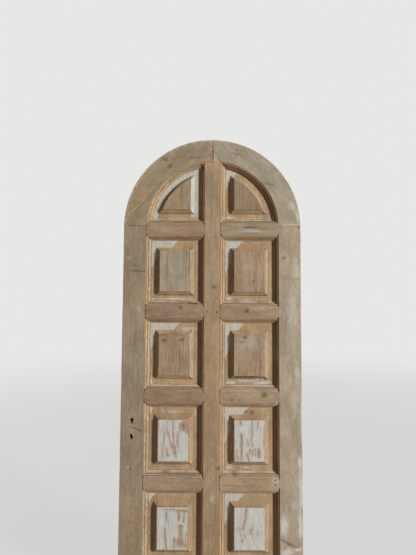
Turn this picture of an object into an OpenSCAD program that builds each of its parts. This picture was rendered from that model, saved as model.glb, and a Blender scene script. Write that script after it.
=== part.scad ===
// Arched door leaf in frame-and-panel joinery.
// Two stiles carry a round-arched head made of two segments. A central mullion and four
// levels of short rails divide the leaf into eight rectangular panels and two quarter-round
// panels. Every framing piece has the same mitred moulding worked on its panel edges, and
// every panel is raised and fielded and held loose in a groove.
// Origin: middle of the bottom edge. X to the right, Y to the back, Z up, millimetres.

/* [Leaf] */
// Overall width of the leaf
leaf_w = 900; // [820:5:1000]
// Thickness of the leaf
leaf_t = 56; // [52:1:70]

/* [Frame] */
// Flat face width of the stiles and of the arched head
stile_face = 113; // [104:1:130]
// Flat face width of the central mullion
mullion_face = 80; // [70:1:110]
// Flat face height of each cross rail
rail_face = 65; // [58:1:90]
// Flat face height of the bottom rail
bottom_face = 200; // [150:1:300]
// Height of a panel opening between two rail faces
opening_h = 354; // [260:1:420]
// Springing line of the arch, below the top edge of the upper rail face
spring_drop = 16; // [8:1:22]
// Crown joint of the arched head, to the right of the centre line
crown_x = 5; // [-10:1:15]
// Rise of the pointed mullion head above the inner face edge of the arch
tip_rise = 60; // [40:1:64]

/* [Moulding] */
// Width of the moulding beyond the face edge
moulding_w = 26; // [23:1:30]
// Height of the same moulding on the rails, beyond their face edges
level_w = 22; // [19:1:30]
// Drop of the quirk at the face edge
quirk_drop = 2.5; // [1:0.5:4]
// Width of the quirk
quirk_w = 1.5; // [0.5:0.5:2]
// Width of the ovolo
ovolo_w = 10; // [8:0.5:11]
// Drop of the ovolo
ovolo_drop = 8; // [6:0.5:9]
// Width of the line sunk between the ovolo and the bead
sunk_w = 1.5; // [1:0.5:2]
// Depth of the line sunk between the ovolo and the bead
sunk_d = 1.5; // [1:0.5:3]
// Width of the bead along the sight edge
bead_w = 9; // [7:0.5:10]
// Drop of the bead
bead_drop = 9; // [7:0.5:10]

/* [Panels] */
// Depth of the panel margin below the frame face
panel_depth = 22; // [20:1:24]
// Width of the panel groove
groove_w = 12; // [9:1:14]
// Length of the panel tongue inside the groove
tongue_l = 9; // [6:1:10]
// Room left for the panel to swell in its groove
swell = 2; // [1:0.5:3]
// Drop of the raised field below the frame face
field_drop = 0; // [0:0.5:4]
// Step around the edge of the raised field
step_h = 2.5; // [1:0.5:4]
// Width of the bevel around the raised field
bevel_w = 19; // [14:1:24]
// Flat margin at the sides of the bevel
margin_side = 26; // [16:1:32]
// Flat margin above the bevel
margin_top = 37; // [20:1:44]
// Flat margin below the bevel
margin_bottom = 28; // [16:1:40]
// Flat margin along the arch
margin_arch = 24; // [16:1:32]

/* [Joints] */
// Thickness of the tenons
tenon_t = 14; // [12:1:18]
// Thickness of a tenon wedge at the edge of the leaf
wedge_w = 6; // [4:0.5:8]
// Length of a tenon wedge
wedge_l = 45; // [30:1:60]
// Thickness of a tenon wedge at its tip
wedge_tip = 1; // [0.5:0.5:2]
// Length of the tenons on the stile tops
tenon_l = 70; // [50:1:80]
// Shoulder of the stile-top tenons at the edge of the leaf
head_shoulder = 20; // [12:1:26]
// Shoulder of the stile-top tenons at the inner face edge
head_inset = 23; // [12:1:30]
// Reach of the mullion's foot tenon below the face edge of the bottom rail
foot_l = 44; // [30:1:56]
// Shoulder at each side of the mullion's foot tenon
foot_shoulder = 10; // [6:1:16]
// Reach of the loose tongue to each side of the crown joint
crown_reach = 45; // [30:1:60]
// Height of the loose tongue
crown_h = 27; // [16:1:30]
// Wood left between the mullion tip and the loose tongue
crown_gap = 10; // [6:1:14]
// Diameter of the mullion pegs
peg_d = 8; // [6:0.5:10]
// Distance of a mullion peg from the centre line
peg_x = 25; // [22:0.5:28]
// Clearance in the joints
fit = 0.3; // [0.1:0.1:0.4]

/* [Lock holes] */
// Distance of the lock holes from the edge of the leaf
lock_inset = 57; // [45:1:65]
// Height of the spindle hole
spindle_z = 891; // [850:1:930]
// Diameter of the spindle hole
spindle_d = 18; // [14:0.5:22]
// Spacing from the spindle hole down to the keyhole
lock_gap = 77; // [60:1:90]
// Diameter of the round part of the keyhole
key_d = 18; // [14:0.5:20]
// Width of the slots below both holes
slot_w = 9; // [6:0.5:10]
// Reach of the slots below the hole centres
slot_l = 18; // [14:0.5:22]
// Depth of the slot worn below the spindle hole
wear_d = 14; // [8:1:20]

/* [Hidden] */
$fn = 96;
rows = 4;
half_w = leaf_w / 2;
x_face = half_w - stile_face;
x_sight = x_face - moulding_w;
m_face = mullion_face / 2;
m_sight = m_face + moulding_w;
pitch = opening_h + rail_face;
top_edge = bottom_face + rows * pitch;
spring_z = top_edge - spring_drop;
leaf_h = spring_z + half_w;
sight_drop = spring_drop + level_w;
bead_x = quirk_w + ovolo_w + sunk_w;
bead_d = quirk_drop + ovolo_drop;
lip = bead_d + bead_drop;
tenon_d = panel_depth + tenon_t;
wedge_land = 3;
tenon_h = rail_face - spring_drop - 2 * wedge_w - wedge_land;
foot_edge = 20;
foot_gap = 30;
foot_tenon_h = (bottom_face - 2 * foot_edge - foot_gap) / 2;
stub_x = 12;
// Overlap of a moulding with the face that it is worked on, and of the tip with the mullion
root = 2;
tip_root = 20;
tip_z = spring_z + x_face + tip_rise;
tongue_fit = (groove_w - 2 * fit) / 2;
groove_mid = panel_depth + groove_w / 2;
field_d = field_drop + step_h;
// Corners of the arch opening: at the upper rail (a) and at the mullion (b),
// on the face edge (0) and on the sight edge (1).
a0 = [sqrt(x_face * x_face - spring_drop * spring_drop), top_edge];
a1 = [sqrt(x_sight * x_sight - sight_drop * sight_drop), top_edge + level_w];
b0 = [m_face, spring_z + sqrt(x_face * x_face - m_face * m_face)];
b1 = [m_sight, spring_z + sqrt(x_sight * x_sight - m_sight * m_sight)];

// Y of a depth measured from the front face
function dy(d) = d - leaf_t / 2;
// Lower face edge of the rail at a level, 1 at the top
function rail_z(level) = top_edge - (level - 1) * pitch - rail_face;
// Lower face edge of the panel opening of a row, 1 at the top
function open_z(row) = rail_z(row) - opening_h;

// Quarter round from a start point, falling by a drop over a width
function quarter_round(x, d, w, drop) = [for (a = [0 : 15 : 90]) [x + w * sin(a), d + drop * (1 - cos(a))]];

// Moulding section of a width: distance from the face edge, depth below the face
function moulding(width) = let (k = width / moulding_w) concat(
    [[-root, panel_depth], [-root, quirk_drop]],
    quarter_round(k * quirk_w, quirk_drop, k * ovolo_w, ovolo_drop),
    [[k * (bead_x - sunk_w), bead_d + sunk_d], [k * bead_x, bead_d + sunk_d]],
    quarter_round(k * bead_x, bead_d, k * bead_w, bead_drop),
    [[width, lip], [width, panel_depth]]);

// Builds on the left, or mirrored on the right
module sided(side) {
    if (side < 0) {
        children();
    } else {
        mirror([1, 0, 0]) children();
    }
}

// Block between two corners given as x, depth, z
module block(p, q) {
    translate([p[0], dy(p[1]), p[2]]) cube([q[0] - p[0], q[1] - p[1], q[2] - p[2]]);
}

// Outline in x and z, given a thickness between two depths
module plate(points, d0, d1) {
    translate([0, dy(d1), 0]) rotate([90, 0, 0]) linear_extrude(height = d1 - d0) polygon(points);
}

// Disc about the arch centre between two depths
module disc(r, d0, d1) {
    translate([0, dy(d1), spring_z]) rotate([90, 0, 0]) cylinder(r = r, h = d1 - d0);
}

// Ring about the arch centre between two depths
module ring(r0, r1, d0, d1) {
    difference() {
        disc(r1, d0, d1);
        disc(r0, d0 - 1, d1 + 1);
    }
}

// Space above the springing line and outside a radius, between two depths
module ring_above(r, d0, d1) {
    difference() {
        block([-half_w, d0, spring_z], [half_w, d1, leaf_h + 1]);
        disc(r, d0 - 1, d1 + 1);
    }
}

// Hole straight through the leaf
module bore(x, z, d) {
    translate([x, dy(leaf_t + 1), z]) rotate([90, 0, 0]) cylinder(d = d, h = leaf_t + 2);
}

// Upright moulding whose face edge is at x, growing towards +x, mitred to the outline
module upright_moulding(x, z0, z1, outline) {
    intersection() {
        translate([x, 0, z0]) linear_extrude(height = z1 - z0)
            polygon([for (p = moulding(moulding_w)) [p[0], dy(p[1])]]);
        plate(outline, 0, panel_depth);
    }
}

// Level moulding whose face edge is at z, growing up (1) or down (-1), mitred to the outline
module level_moulding(x0, x1, z, up, outline) {
    intersection() {
        translate([x0, 0, z]) rotate([90, 0, 90]) linear_extrude(height = x1 - x0)
            polygon([for (p = moulding(level_w)) [dy(p[1]), up * p[0]]]);
        plate(outline, 0, panel_depth);
    }
}

// Mitred outline of an upright moulding along a rectangular opening
function upright_outline(x, z0, z1) = [[x - root, z0], [x, z0], [x + moulding_w, z0 + level_w],
    [x + moulding_w, z1 - level_w], [x, z1], [x - root, z1]];

// Mitred outline of a level moulding along a rectangular opening
function level_outline(x0, x1, z, up) = [[x0, z - root * up], [x1, z - root * up], [x1, z],
    [x1 - moulding_w, z + up * level_w], [x0 + moulding_w, z + up * level_w], [x0, z]];

// Groove of a left panel, grown by the room to swell; the panel stands on its lower edge
module panel_groove(row) {
    reach = tongue_l + swell;
    block([-x_sight - reach, panel_depth, open_z(row) + level_w - tongue_l],
        [-m_sight + reach, panel_depth + groove_w, rail_z(row) - level_w + reach]);
}

// Groove of the left quarter-round panel
module arch_groove() {
    reach = tongue_l + swell;
    intersection() {
        disc(x_sight + reach, panel_depth, panel_depth + groove_w);
        block([-half_w, panel_depth - 1, top_edge + level_w - tongue_l],
            [-m_sight + reach, panel_depth + groove_w + 1, leaf_h]);
    }
}

// Left through-mortise for a tenon between two heights, flared for its wedges
module through_mortise(z0, z1) {
    flare = (wedge_w - wedge_tip) / wedge_l;
    x0 = -half_w - 1;
    x1 = -half_w + wedge_l;
    x2 = -x_sight + 1;
    plate([[x0, z0 - wedge_w - flare - fit], [x1, z0 - wedge_tip - fit], [x1, z0 - fit],
        [x2, z0 - fit], [x2, z1 + fit], [x1, z1 + fit], [x1, z1 + wedge_tip + fit],
        [x0, z1 + wedge_w + flare + fit]],
        panel_depth, tenon_d + fit);
}

// Pair of wedges above and below a left tenon
module wedge_pair(z0, z1) {
    x0 = -half_w;
    x1 = -half_w + wedge_l;
    plate([[x0, z1], [x1, z1], [x1, z1 + wedge_tip], [x0, z1 + wedge_w]], panel_depth + fit, tenon_d);
    plate([[x0, z0], [x0, z0 - wedge_w], [x1, z0 - wedge_tip], [x1, z0]], panel_depth + fit, tenon_d);
}

// Heights of the tenons of a rail in the stile and in the mullion
function stile_tenon_z(level) = rail_z(level) + wedge_w;
function stub_tenon_z(level) = rail_z(level) + (rail_face - tenon_h) / 2;

// Both tenon heights of the bottom rail
function foot_tenon_z(n) = n == 0 ? foot_edge : bottom_face - foot_edge - foot_tenon_h;

// Left stile: grooved and moulded on its inner edge, mortised through, tenoned at the top
module stile() {
    difference() {
        union() {
            block([-half_w, 0, 0], [-x_face, leaf_t, spring_z]);
            block([-half_w, panel_depth, 0], [-x_sight, leaf_t, spring_z]);
            block([-half_w + head_shoulder, panel_depth + fit, spring_z - 1],
                [-x_face - head_inset, tenon_d, spring_z + tenon_l]);
            for (row = [1 : rows]) {
                upright_moulding(-x_face, open_z(row), rail_z(row),
                    upright_outline(-x_face, open_z(row), rail_z(row)));
            }
        }
        for (row = [1 : rows]) {
            panel_groove(row);
            through_mortise(stile_tenon_z(row), stile_tenon_z(row) + tenon_h);
        }
        for (n = [0 : 1]) {
            through_mortise(foot_tenon_z(n), foot_tenon_z(n) + foot_tenon_h);
        }
    }
}

// Spindle hole with a worn slot, and keyhole, through the left stile
module lock_holes() {
    x = -half_w + lock_inset;
    bore(x, spindle_z, spindle_d);
    block([x - slot_w / 2, -1, spindle_z - slot_l], [x + slot_w / 2, wear_d, spindle_z]);
    bore(x, spindle_z - lock_gap, key_d);
    block([x - slot_w / 2, -1, spindle_z - lock_gap - slot_l],
        [x + slot_w / 2, leaf_t + 1, spindle_z - lock_gap]);
}

// Pointed head of the mullion, wedged into the right arch segment
module mullion_tip(grow) {
    plate([[crown_x - grow, tip_z + 2 * grow], b0 + [grow, grow], [m_face, b0[1] - tip_root],
        [crown_x - grow, b0[1] - tip_root]], 0, panel_depth);
    plate([[crown_x - grow, tip_z + 2 * grow], b0 + [grow, grow], b1 + [grow, grow],
        [m_sight, b1[1] - tip_root], [crown_x - grow, b1[1] - tip_root]], panel_depth, leaf_t);
}

// Half of the arched head: a quarter ring with the moulding turned on its inner edge
module arch_segment(side) {
    outer = [[-a0[0], a0[1]], [-a1[0], a1[1]], [-b1[0], b1[1]], [-b0[0], b0[1]],
        [-b0[0], leaf_h], [-half_w, leaf_h], [-half_w, a0[1]]];
    difference() {
        union() {
            intersection() {
                union() {
                    ring(x_face, half_w, 0, leaf_t);
                    ring(x_sight, half_w, panel_depth, leaf_t);
                }
                if (side < 0) {
                    block([-half_w, -1, spring_z], [crown_x, leaf_t + 1, leaf_h]);
                } else {
                    block([crown_x, -1, spring_z], [half_w, leaf_t + 1, leaf_h]);
                }
            }
            sided(side) intersection() {
                translate([0, 0, spring_z]) rotate([90, 0, 0]) rotate_extrude()
                    polygon([for (p = moulding(moulding_w)) [x_face - p[0], -dy(p[1])]]);
                plate(outer, 0, panel_depth);
            }
        }
        sided(side) {
            arch_groove();
            // Mortise of the stile top
            block([-half_w + head_shoulder - fit, panel_depth, spring_z - 1],
                [-x_face - head_inset + fit, tenon_d + fit, spring_z + tenon_l + 1]);
        }
        tongue_block(fit);
        if (side > 0) {
            mullion_tip(0);
        }
    }
}

// Loose tongue across the crown joint
module tongue_block(grow) {
    z0 = tip_z + crown_gap;
    block([crown_x - crown_reach - grow, panel_depth, z0 - grow],
        [crown_x + crown_reach + grow, tenon_d + grow, z0 + crown_h + grow]);
}

// Central mullion: moulded on both edges, tenoned at the foot, pointed at the crown
module mullion_body() {
    foot_z = bottom_face + level_w;
    difference() {
        union() {
            difference() {
                block([-m_face, 0, bottom_face], [m_face, panel_depth, leaf_h]);
                ring_above(x_face, -1, leaf_t + 1);
            }
            block([-m_face, 0, foot_z], [m_face, leaf_t, spring_z]);
            difference() {
                block([-m_sight, panel_depth, foot_z], [m_sight, leaf_t, leaf_h]);
                ring_above(x_sight, -1, leaf_t + 1);
            }
            mullion_tip(0);
            block([-m_face + foot_shoulder, panel_depth + fit, bottom_face - foot_l],
                [m_face - foot_shoulder, tenon_d, foot_z + 1]);
            for (side = [-1, 1]) sided(-side) {
                for (row = [1 : rows]) {
                    upright_moulding(m_face, open_z(row), rail_z(row),
                        upright_outline(m_face, open_z(row), rail_z(row)));
                }
                upright_moulding(m_face, top_edge, b0[1], [[m_face - root, top_edge],
                    [m_face, top_edge], [m_sight, top_edge + level_w], b1, b0, [m_face - root, b0[1]]]);
            }
        }
        for (side = [-1, 1]) sided(side) {
            for (row = [1 : rows]) {
                panel_groove(row);
                block([-m_sight - 1, panel_depth, stub_tenon_z(row) - fit],
                    [-stub_x + 1, tenon_d + fit, stub_tenon_z(row) + tenon_h + fit]);
            }
            arch_groove();
        }
        peg_holes(fit);
    }
}

// Holes of the mullion pegs, at the second level of rails
module peg_holes(grow) {
    for (side = [-1, 1]) {
        bore(side * peg_x, rail_z(2) + rail_face / 2, peg_d + 2 * grow);
    }
}

// Upper corner of a rail's outer end, scribed to the arch on the upper rail
function rail_end(level, r, drop) = level > 1 ? [[-r, rail_z(level) + rail_face + drop - spring_drop]]
    : [for (k = [4 : -1 : 0]) [-sqrt(r * r - pow(drop * k / 4, 2)), spring_z + drop * k / 4]];

// Short rail on the left: moulded above and below, tenoned into stile and mullion
module rail(level) {
    z0 = rail_z(level);
    z1 = z0 + rail_face;
    over = level == 1 ? [[-x_face + moulding_w, z1 - root], [-m_face, z1 - root], [-m_face, z1],
        [-m_sight, z1 + level_w], [-a1[0], a1[1]], [-a0[0], a0[1]]]
        : level_outline(-x_face, -m_face, z1, 1);
    difference() {
        union() {
            plate(concat([[-x_face, z0], [-m_face, z0], [-m_face, z1]],
                rail_end(level, x_face, spring_drop)), 0, panel_depth);
            plate(concat([[-x_sight, z0 - level_w], [-m_sight, z0 - level_w],
                [-m_sight, z1 + level_w]], rail_end(level, x_sight, sight_drop)), panel_depth, leaf_t);
            block([-x_sight + moulding_w, 0, z0], [-m_sight, leaf_t, z1]);
            block([-half_w, panel_depth + fit, stile_tenon_z(level)],
                [-x_sight + 1, tenon_d, stile_tenon_z(level) + tenon_h]);
            block([-m_sight - 1, panel_depth + fit, stub_tenon_z(level)],
                [-stub_x, tenon_d, stub_tenon_z(level) + tenon_h]);
            level_moulding(-x_face, -m_face, z0, -1, level_outline(-x_face, -m_face, z0, -1));
            level_moulding(-x_face, -m_face, z1, 1, over);
        }
        panel_groove(level);
        if (level == 1) {
            arch_groove();
        } else {
            panel_groove(level - 1);
        }
        if (level == 2) {
            peg_holes(fit);
        }
    }
}

// Bottom rail: one piece across the leaf, with two wedged tenons at each end
module bottom_piece() {
    difference() {
        union() {
            block([-x_face, 0, 0], [x_face, panel_depth, bottom_face]);
            block([-x_sight, 0, 0], [x_sight, leaf_t, bottom_face]);
            block([-x_sight, panel_depth, 0], [x_sight, leaf_t, bottom_face + level_w]);
            for (side = [-1, 1]) sided(side) {
                for (n = [0 : 1]) {
                    block([-half_w, panel_depth + fit, foot_tenon_z(n)],
                        [-x_sight + 1, tenon_d, foot_tenon_z(n) + foot_tenon_h]);
                }
                level_moulding(-x_face, -m_face, bottom_face, 1,
                    level_outline(-x_face, -m_face, bottom_face, 1));
            }
        }
        for (side = [-1, 1]) sided(side) panel_groove(rows);
        // Mortise of the mullion foot
        block([-m_face + foot_shoulder - fit, panel_depth, bottom_face - foot_l - 1],
            [m_face - foot_shoulder + fit, tenon_d + fit, bottom_face + level_w + 1]);
    }
}

// Slope of the bevel across one pair of edges, as offsets from the foot and the field
function bevel_section(f0, f1) = [[f0 - bevel_w, groove_mid], [f0 - bevel_w, panel_depth + fit],
    [f0, field_d], [f0, field_drop], [f1, field_drop], [f1, field_d],
    [f1 + bevel_w, panel_depth + fit], [f1 + bevel_w, groove_mid]];

// Raised part bounded by a bevel at both sides, running upwards
module raised_sides(f0, f1, z0, z1) {
    translate([0, 0, z0]) linear_extrude(height = z1 - z0)
        polygon([for (p = bevel_section(f0, f1)) [p[0], dy(p[1])]]);
}

// Raised part bounded by a bevel below and above, running across
module raised_ends(f0, f1, x0, x1) {
    translate([x0, 0, 0]) rotate([90, 0, 90]) linear_extrude(height = x1 - x0)
        polygon([for (p = bevel_section(f0, f1)) [dy(p[1]), p[0]]]);
}

// Rectangular panel on the left, raised and fielded, with a tongue all round
module panel(row) {
    z0 = open_z(row) + level_w;
    z1 = rail_z(row) - level_w;
    union() {
        block([-x_sight - tongue_l, groove_mid - tongue_fit, z0 - tongue_l],
            [-m_sight + tongue_l, groove_mid + tongue_fit, z1 + tongue_l]);
        intersection() {
            raised_sides(-x_sight + margin_side + bevel_w, -m_sight - margin_side - bevel_w, z0, z1);
            raised_ends(z0 + margin_bottom + bevel_w, z1 - margin_top - bevel_w, -x_sight, -m_sight);
        }
    }
}

// Quarter-round panel on the left, raised and fielded along the arch
module arch_panel() {
    z0 = top_edge + level_w;
    r_field = x_sight - margin_arch - bevel_w;
    union() {
        intersection() {
            disc(x_sight + tongue_l, groove_mid - tongue_fit, groove_mid + tongue_fit);
            block([-half_w, panel_depth - 1, z0 - tongue_l], [-m_sight + tongue_l, leaf_t, leaf_h]);
        }
        intersection() {
            translate([0, 0, spring_z]) rotate([90, 0, 0]) rotate_extrude()
                polygon([[0, -dy(groove_mid)], [r_field + bevel_w, -dy(groove_mid)],
                    [r_field + bevel_w, -dy(panel_depth + fit)], [r_field, -dy(field_d)],
                    [r_field, -dy(field_drop)], [0, -dy(field_drop)]]);
            raised_sides(-half_w, -m_sight - margin_side - bevel_w, spring_z, leaf_h);
            raised_ends(z0 + margin_bottom + bevel_w, leaf_h, -half_w, 0);
        }
    }
}

// Pieces

module left_stile() {
    color("BurlyWood") difference() {
        stile();
        lock_holes();
    }
}
module right_stile() { color("BurlyWood") sided(1) stile(); }
module left_arch() { color("Tan") arch_segment(-1); }
module right_arch() { color("Tan") arch_segment(1); }
module mullion() { color("BurlyWood") mullion_body(); }
module bottom_rail() { color("Tan") bottom_piece(); }
module left_rail(level) { color("Tan") sided(-1) rail(level); }
module right_rail(level) { color("Tan") sided(1) rail(level); }
module left_arch_panel() { color("Peru") sided(-1) arch_panel(); }
module right_arch_panel() { color("Peru") sided(1) arch_panel(); }
module left_panel(row) { color("Peru") sided(-1) panel(row); }
module right_panel(row) { color("Peru") sided(1) panel(row); }
module mullion_pegs() {
    color("SaddleBrown") intersection() {
        peg_holes(0);
        block([-half_w, 0, 0], [half_w, leaf_t, leaf_h]);
    }
}
module wedges(side) {
    color("SaddleBrown") sided(side) {
        for (row = [1 : rows]) wedge_pair(stile_tenon_z(row), stile_tenon_z(row) + tenon_h);
        for (n = [0 : 1]) wedge_pair(foot_tenon_z(n), foot_tenon_z(n) + foot_tenon_h);
    }
}
module left_wedges() { wedges(-1); }
module right_wedges() { wedges(1); }
module crown_tongue() { color("SaddleBrown") tongue_block(0); }

left_stile();
right_stile();
left_arch();
right_arch();
mullion();
bottom_rail();
left_rail(1);  // left_rail_1
left_rail(2);  // left_rail_2
left_rail(3);  // left_rail_3
left_rail(4);  // left_rail_4
right_rail(1);  // right_rail_1
right_rail(2);  // right_rail_2
right_rail(3);  // right_rail_3
right_rail(4);  // right_rail_4
left_arch_panel();
right_arch_panel();
left_panel(1);  // left_panel_1
left_panel(2);  // left_panel_2
left_panel(3);  // left_panel_3
left_panel(4);  // left_panel_4
right_panel(1);  // right_panel_1
right_panel(2);  // right_panel_2
right_panel(3);  // right_panel_3
right_panel(4);  // right_panel_4
mullion_pegs();
left_wedges();
right_wedges();
crown_tongue();
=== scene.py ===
"""Worn, partly stripped arched door leaf: its pieces, their finish and a plain studio stage."""
import math
from functools import cached_property, reduce
from operator import or_
from types import SimpleNamespace
from typing import NamedTuple

import bmesh
import bpy
from bpy.props import FloatProperty, FloatVectorProperty, PointerProperty
from mathutils import Matrix, Vector, noise


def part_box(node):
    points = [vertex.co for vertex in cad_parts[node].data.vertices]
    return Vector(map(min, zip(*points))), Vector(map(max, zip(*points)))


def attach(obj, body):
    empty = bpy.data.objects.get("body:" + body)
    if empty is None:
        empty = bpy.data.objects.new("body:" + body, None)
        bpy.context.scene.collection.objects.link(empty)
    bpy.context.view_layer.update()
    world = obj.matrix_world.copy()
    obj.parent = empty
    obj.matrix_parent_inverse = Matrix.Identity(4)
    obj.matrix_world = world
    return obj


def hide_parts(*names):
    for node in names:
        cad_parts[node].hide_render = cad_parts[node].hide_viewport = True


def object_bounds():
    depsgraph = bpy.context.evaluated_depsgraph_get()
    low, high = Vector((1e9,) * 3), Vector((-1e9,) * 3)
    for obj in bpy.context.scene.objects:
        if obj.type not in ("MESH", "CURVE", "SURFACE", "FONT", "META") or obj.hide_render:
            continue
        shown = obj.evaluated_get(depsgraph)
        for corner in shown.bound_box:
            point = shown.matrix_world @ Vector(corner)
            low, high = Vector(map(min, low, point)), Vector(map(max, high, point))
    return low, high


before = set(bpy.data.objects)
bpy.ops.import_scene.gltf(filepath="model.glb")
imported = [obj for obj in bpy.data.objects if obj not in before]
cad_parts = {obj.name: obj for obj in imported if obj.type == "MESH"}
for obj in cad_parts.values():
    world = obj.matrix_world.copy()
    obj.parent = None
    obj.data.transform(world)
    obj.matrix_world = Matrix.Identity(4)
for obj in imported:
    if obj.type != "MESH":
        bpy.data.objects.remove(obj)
CAD_LOW, CAD_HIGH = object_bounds()

bl_info = {
    "name": "Arched door leaf",
    "version": (1, 0, 0),
    "blender": (4, 5, 0),
    "location": "View3D > Sidebar > Door",
    "description": "Builds a worn arched door leaf on its CAD frame",
    "category": "Object",
}

MM = 0.001
BODY = "root"

# Planes and lines of the leaf, in metres
FRONT = CAD_LOW.y
BACK = CAD_HIGH.y
HALF_W = CAD_HIGH.x
LEAF_H = CAD_HIGH.z
SPRING_Z = LEAF_H - HALF_W
TONGUE = 9 * MM
QUIRK = 2.5 * MM
LEVEL_W = 22 * MM
MARGIN_SIDE = 26 * MM
MARGIN_TOP = 37 * MM
MARGIN_BOTTOM = 28 * MM
MARGIN_ARCH = 24 * MM
BEVEL_W = 19 * MM
FACE_X = 337 * MM
SIGHT_X = 311 * MM
MULLION_FACE = 40 * MM
MULLION_SIGHT = 66 * MM
LOCK_HOLES = ((-393 * MM, 891 * MM), (-393 * MM, 814 * MM))
LOCK_REACH = 22 * MM
HEAD_Z = SPRING_Z + 285 * MM
PLANED_Z = 1400 * MM
ARCH_CORNER = 72 * MM
FIELD_PLANE = FRONT + 2 * MM
MOULDED_PLANE = FRONT + 1.5 * MM
SUNK_PLANE = FRONT + 11.5 * MM
MARGIN_PLANE = FRONT + 22.3 * MM

# Cutting and shading of the worn meshes
AXIS_X = Vector((1.0, 0.0, 0.0))
AXIS_Z = Vector((0.0, 0.0, 1.0))
FINE_SNAP = 0.02 * MM
GRID_SNAP = 0.05 * MM
FLAT_ANGLE = math.radians(0.5)
ARRIS_ANGLE = math.radians(40)
SMOOTH_ANGLE = math.radians(38)
FRONT_FACING = -0.2
CORNER_CUTS = 5
ARRIS = "arris"

# Camera fitted to the picture, lights and floor, in metres
PHOTO_H_PX = 555
FOCAL_PX = 415
SENSOR = 36.0
CAMERA_PLACE = Vector((-0.0208, -2.1209, 1.4663))
CAMERA_PITCH = math.radians(3.6)
CAMERA_ROLL = math.radians(0.33)
LIGHT_TARGET = Vector((0.0, 0.0, 1.4))
KEY_PLACE = Vector((12.6, -8.7, 5.3))
KEY_SIZE = 2.2
BACK_PLACE = Vector((-10.0, 12.0, 8.0))
BACK_SIZE = 4.0
BACK_SHARE = 0.5
AMBIENT_TINT = (1.0, 0.88, 0.74)
SEEING_RAYS = ("Camera", "Glossy", "Transmission")
FLOOR_R = 14.0
FLOOR_SHARE = 0.35

SIDES = ("left", "right")
LEVELS = (1, 2, 3, 4)
STILES = tuple(f"{side}_stile" for side in SIDES)
ARCHES = tuple(f"{side}_arch" for side in SIDES)
RAILS = tuple(f"{side}_rail_{level}" for level in LEVELS for side in SIDES)
PANELS = tuple(f"{side}_panel_{row}" for row in LEVELS for side in SIDES)
ARCH_PANELS = tuple(f"{side}_arch_panel" for side in SIDES)
SMALL_PIECES = ("mullion_pegs", "left_wedges", "right_wedges", "crown_tongue")

# Tone of each framing piece, sRGB
TONES = {
    "left_stile": (142, 124, 104),
    "right_stile": (156, 141, 122),
    "left_arch": (142, 124, 101),
    "right_arch": (151, 138, 119),
    "mullion": (150, 127, 101),
    "bottom_rail": (146, 123, 98),
    "left_rail_1": (143, 121, 98),
    "left_rail_2": (138, 116, 95),
    "left_rail_3": (139, 116, 93),
    "left_rail_4": (144, 123, 99),
    "right_rail_1": (138, 123, 102),
    "right_rail_2": (146, 125, 101),
    "right_rail_3": (149, 129, 107),
    "right_rail_4": (151, 131, 107),
}
FIELD_TONES = {
    "left_panel_1": (154, 138, 119),
    "right_panel_1": (149, 128, 105),
    "left_panel_2": (147, 125, 104),
    "right_panel_2": (148, 126, 103),
    "left_arch_panel": (147, 127, 103),
    "right_arch_panel": (135, 116, 94),
}


class Layer(NamedTuple):
    """A soft layer of the wood's colour: scales of its noise, its ramp, strength and tint."""
    along: float
    across: float
    seed: float
    detail: float
    roughness: float
    low: float
    high: float
    strength: float
    tint: tuple


WOOD_LAYERS = {
    "patches": Layer(7.0, 14.0, 1.7, 5.0, 0.62, 0.34, 0.66, 1.0, (0.77, 0.75, 0.73)),
    "drift": Layer(3.0, 7.0, 2.9, 3.0, 0.50, 0.38, 0.62, 1.0, (0.93, 1.00, 1.06)),
    "mottle": Layer(34.0, 60.0, 1.3, 4.0, 0.70, 0.36, 0.64, 1.0, (0.87, 0.85, 0.83)),
    "chatter": Layer(90.0, 12.0, 3.3, 3.0, 0.60, 0.52, 0.66, 0.35, (0.90, 0.89, 0.88)),
}

# Strength of the growth rings
FRAME_FIGURE = 0.4
ARCH_FIGURE = 0.2
FIELD_FIGURE = 0.95

# Relief and gloss of the wood
GRAIN_DEPTH = 0.7 * MM
END_GRAIN_DEPTH = 0.4 * MM
WOOD_SPECULAR = 0.3

# Tints, as factors of the colour that they change
WOOD_BASE = (1.25, 1.22, 1.17)
RING_TINT = (0.70, 0.65, 0.59)
PALE_FIBRE_TINT = (1.17, 1.17, 1.16)
DARK_FIBRE_TINT = (0.84, 0.81, 0.78)
KNOT_HALO_TINT = (0.66, 0.58, 0.48)
KNOT_CORE_TINT = (0.40, 0.36, 0.32)
RAIL_MOULDING_TINT = (1.14, 1.10, 1.02)
# Painted shade that slightly dims the mouldings of the pieces whose mouldings face the key light
LIT_MOULDING_PAINTED_SHADE = (1.0, 0.98, 0.95)
# Painted shade that dims the ovolo of the mouldings facing the key light
LIT_OVOLO_PAINTED_SHADE = (0.90, 0.89, 0.87)
# Painted shade that darkens the sunk crease line of the mouldings
SUNK_PAINTED_SHADE = (0.62, 0.52, 0.43)
# Painted light on the rails' mouldings that face down, and painted warm shade on the left-facing mouldings
# of the right stile, right arch and mullion
RAIL_UNDERSIDE_PAINTED_LIGHT = (1.20, 1.14, 1.08)
UPRIGHT_PAINTED_SHADE = (1.08, 0.92, 0.78)
RIPPLE_TINT = (0.88, 0.88, 0.88)
HEAD_TINT = (1.24, 1.26, 1.20)
MARGIN_PAINT_TINT = (0.97, 0.94, 0.91)
FIELD_PAINT_TINT = (1.05, 1.09, 1.13)
CHALK_TINT = (0.80, 0.79, 0.76)
# Painted shade that dims the lit bevels, and painted light on the lower bevels, which face down
LIT_BEVEL_PAINTED_SHADE = (0.80, 0.84, 0.91)
LOWER_BEVEL_PAINTED_LIGHT = (1.25, 1.25, 1.25)
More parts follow.
